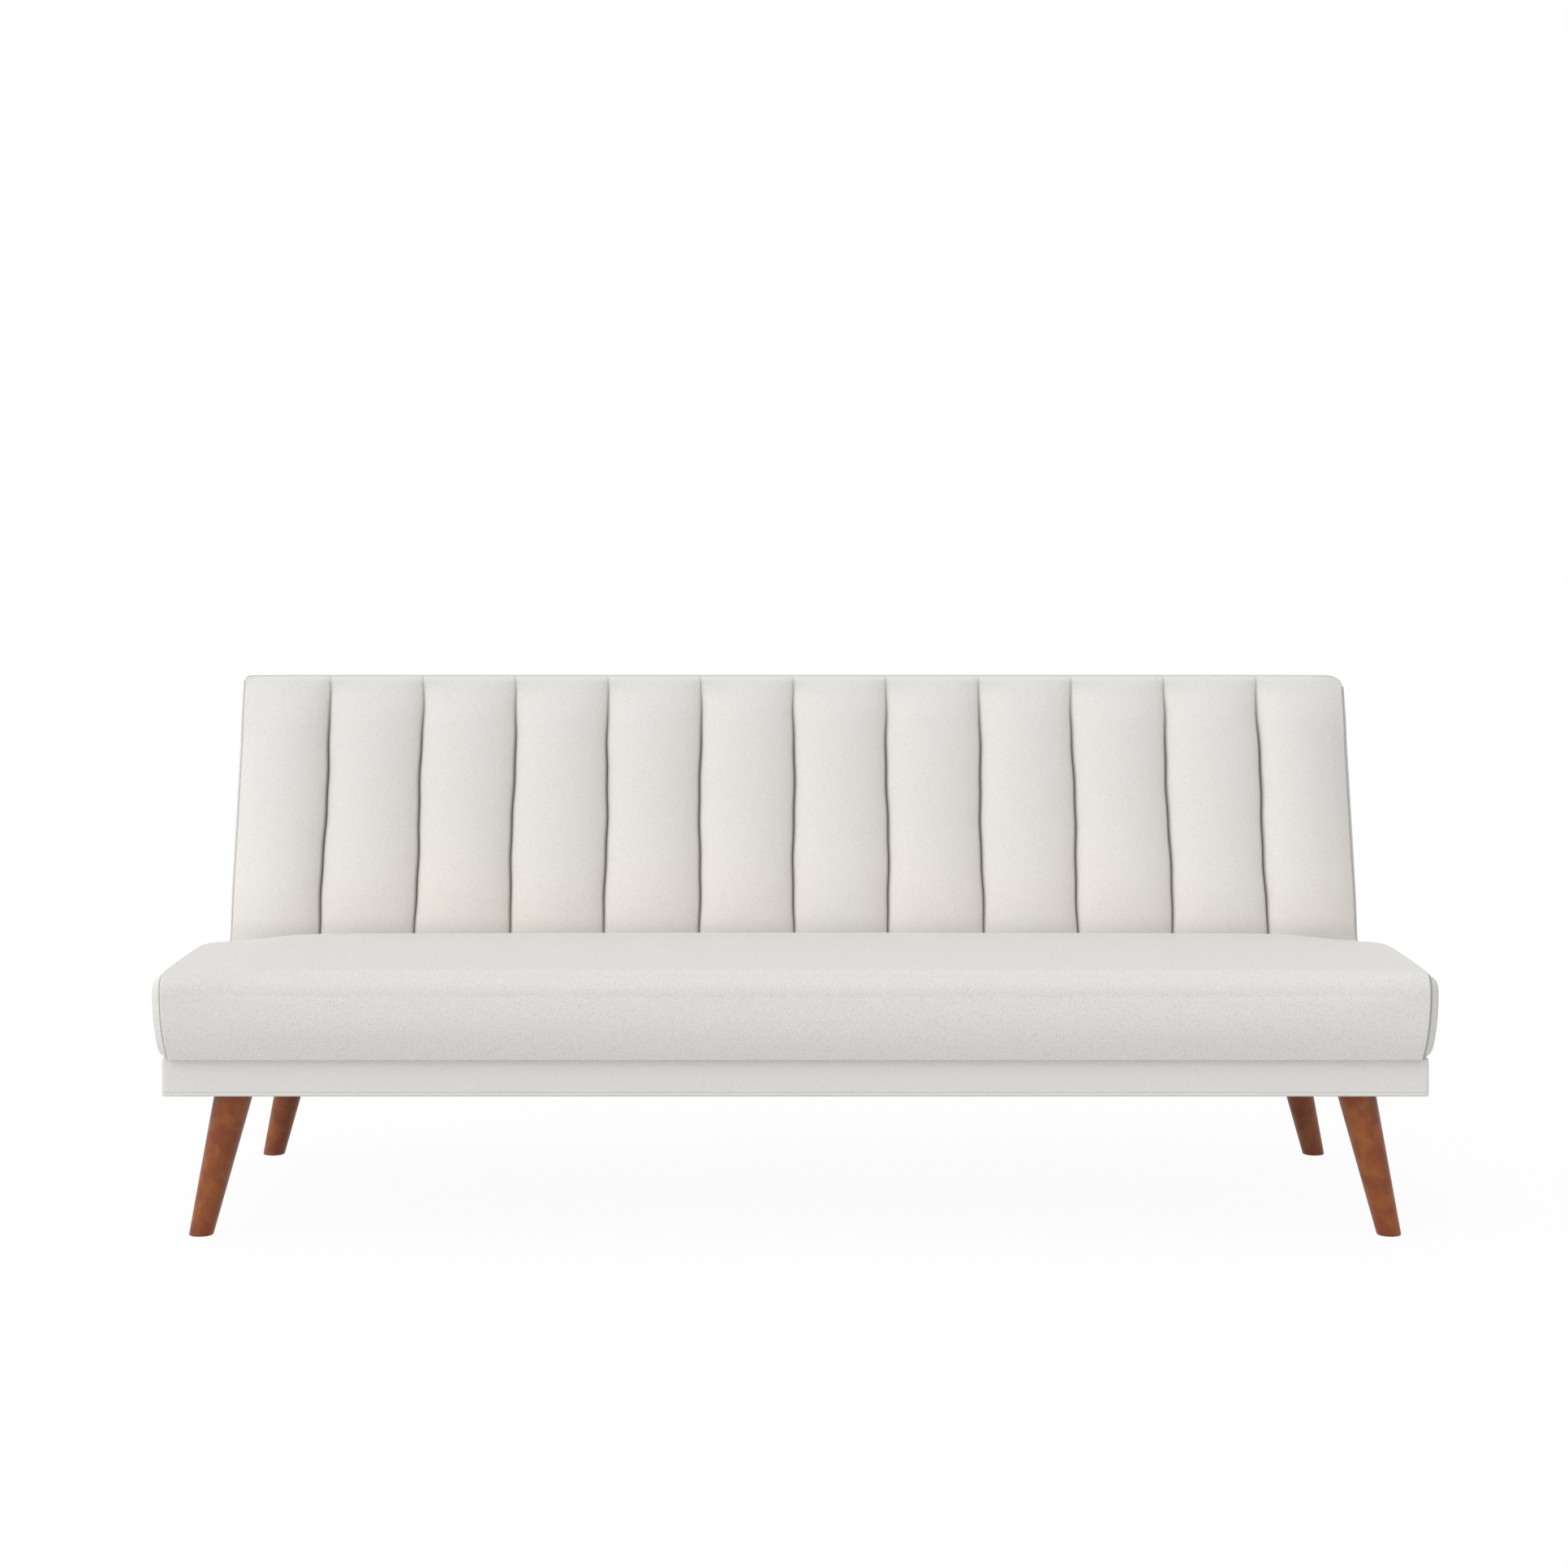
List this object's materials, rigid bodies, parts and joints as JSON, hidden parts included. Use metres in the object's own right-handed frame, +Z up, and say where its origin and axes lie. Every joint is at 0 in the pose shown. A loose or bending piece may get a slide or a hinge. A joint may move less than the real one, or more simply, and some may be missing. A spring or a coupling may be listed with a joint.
{
  "type": "click clack sofa bed",
  "caption": "Armless sofa with a channelled folding back on two ratchet hinges, a padded seat on a low wrapped frame and four splayed round legs; it folds flat into a bed.",
  "frame": {"origin": "on the floor, midway across the sofa's width and midway between the seat's front and the back's rear edge at rest", "axes": "+X along the sofa's width, to the right when seen from the front; the sofa faces -Y; +Z up"},
  "size_m": [1.842, 0.8386, 0.7863],
  "materials": {
    "faux_leather": "pebbled, soft satin",
    "frame_timber": "sawn, bare",
    "leg_wood": "stained, satin lacquer",
    "black_steel": "black powder coat",
    "zinc_steel": "bright zinc plate",
    "spring_steel": "oiled wire",
    "foam": "open cell foam",
    "black_cloth": "non-woven cloth",
    "webbing": "woven elastic strap",
    "foot_nylon": "moulded"
  },
  "bodies": {
    "base": {"frame_front_rail": "frame_timber", "frame_rear_rail": "frame_timber", "frame_spring_rail": "frame_timber", "frame_left_rail": "frame_timber", "frame_right_rail": "frame_timber", "frame_left_bearer": "frame_timber", "frame_right_bearer": "frame_timber", "frame_centre_bearer": "frame_timber", "corner_block_front_left": "frame_timber", "corner_block_front_right": "frame_timber", "corner_block_rear_left": "frame_timber", "corner_block_rear_right": "frame_timber", "rail_cover_front": "faux_leather", "rail_cover_rear": "faux_leather", "rail_cover_left": "faux_leather", "rail_cover_right": "faux_leather", "leg_front_left": "leg_wood", "leg_front_right": "leg_wood", "leg_rear_left": "leg_wood", "leg_rear_right": "leg_wood", "leg_bolt_front_left": "zinc_steel", "leg_bolt_front_right": "zinc_steel", "leg_bolt_rear_left": "zinc_steel", "leg_bolt_rear_right": "zinc_steel", "leg_plate_front_left": "zinc_steel", "leg_plate_front_right": "zinc_steel", "leg_plate_rear_left": "zinc_steel", "leg_plate_rear_right": "zinc_steel", "foot_glide_front_left": "foot_nylon", "foot_glide_front_right": "foot_nylon", "foot_glide_rear_left": "foot_nylon", "foot_glide_rear_right": "foot_nylon", "base_dust_cover": "black_cloth", "seat_springs": "spring_steel", "seat_foam": "foam", "seat_cushion": "faux_leather", "hinge_bracket_left": "black_steel", "hinge_bracket_right": "black_steel", "hinge_cheek_left": "black_steel", "hinge_cheek_right": "black_steel", "hinge_pin_left": "zinc_steel", "hinge_pin_right": "zinc_steel", "pawl_spring_left": "spring_steel", "pawl_spring_right": "spring_steel"},
    "back": {"back_cushion": "faux_leather", "back_foam": "foam", "back_rear_panel": "faux_leather", "back_top_rail": "frame_timber", "back_bottom_rail": "frame_timber", "back_left_stile": "frame_timber", "back_right_stile": "frame_timber", "back_inner_left_stile": "frame_timber", "back_inner_right_stile": "frame_timber", "back_webbing": "webbing", "hinge_arm_left": "black_steel", "hinge_arm_right": "black_steel"},
    "pawl_left": {"hinge_pawl_left": "zinc_steel"},
    "pawl_right": {"hinge_pawl_right": "zinc_steel"}
  },
  "joints": [
    {"name": "back_recline", "type": "hinge", "parent": "base", "child": "back", "pos_m": [0, 0.231, 0.325], "axis": [-1, 0, 0], "range_deg": [-12, 73]},
    {"name": "left_pawl", "type": "hinge", "parent": "base", "child": "pawl_left", "pos_m": [-0.8653, 0.211, 0.275], "axis": [1, 0, 0], "range_deg": [0, 7], "stiffness_Nm_per_rad": 0.3, "springref_deg": -5.73},
    {"name": "right_pawl", "type": "hinge", "parent": "base", "child": "pawl_right", "pos_m": [0.8653, 0.211, 0.275], "axis": [1, 0, 0], "range_deg": [0, 7], "stiffness_Nm_per_rad": 0.3, "springref_deg": -5.73}
  ],
  "couplings": [
    {"joint": "right_pawl", "follows": "left_pawl", "ratio": 1}
  ]
}
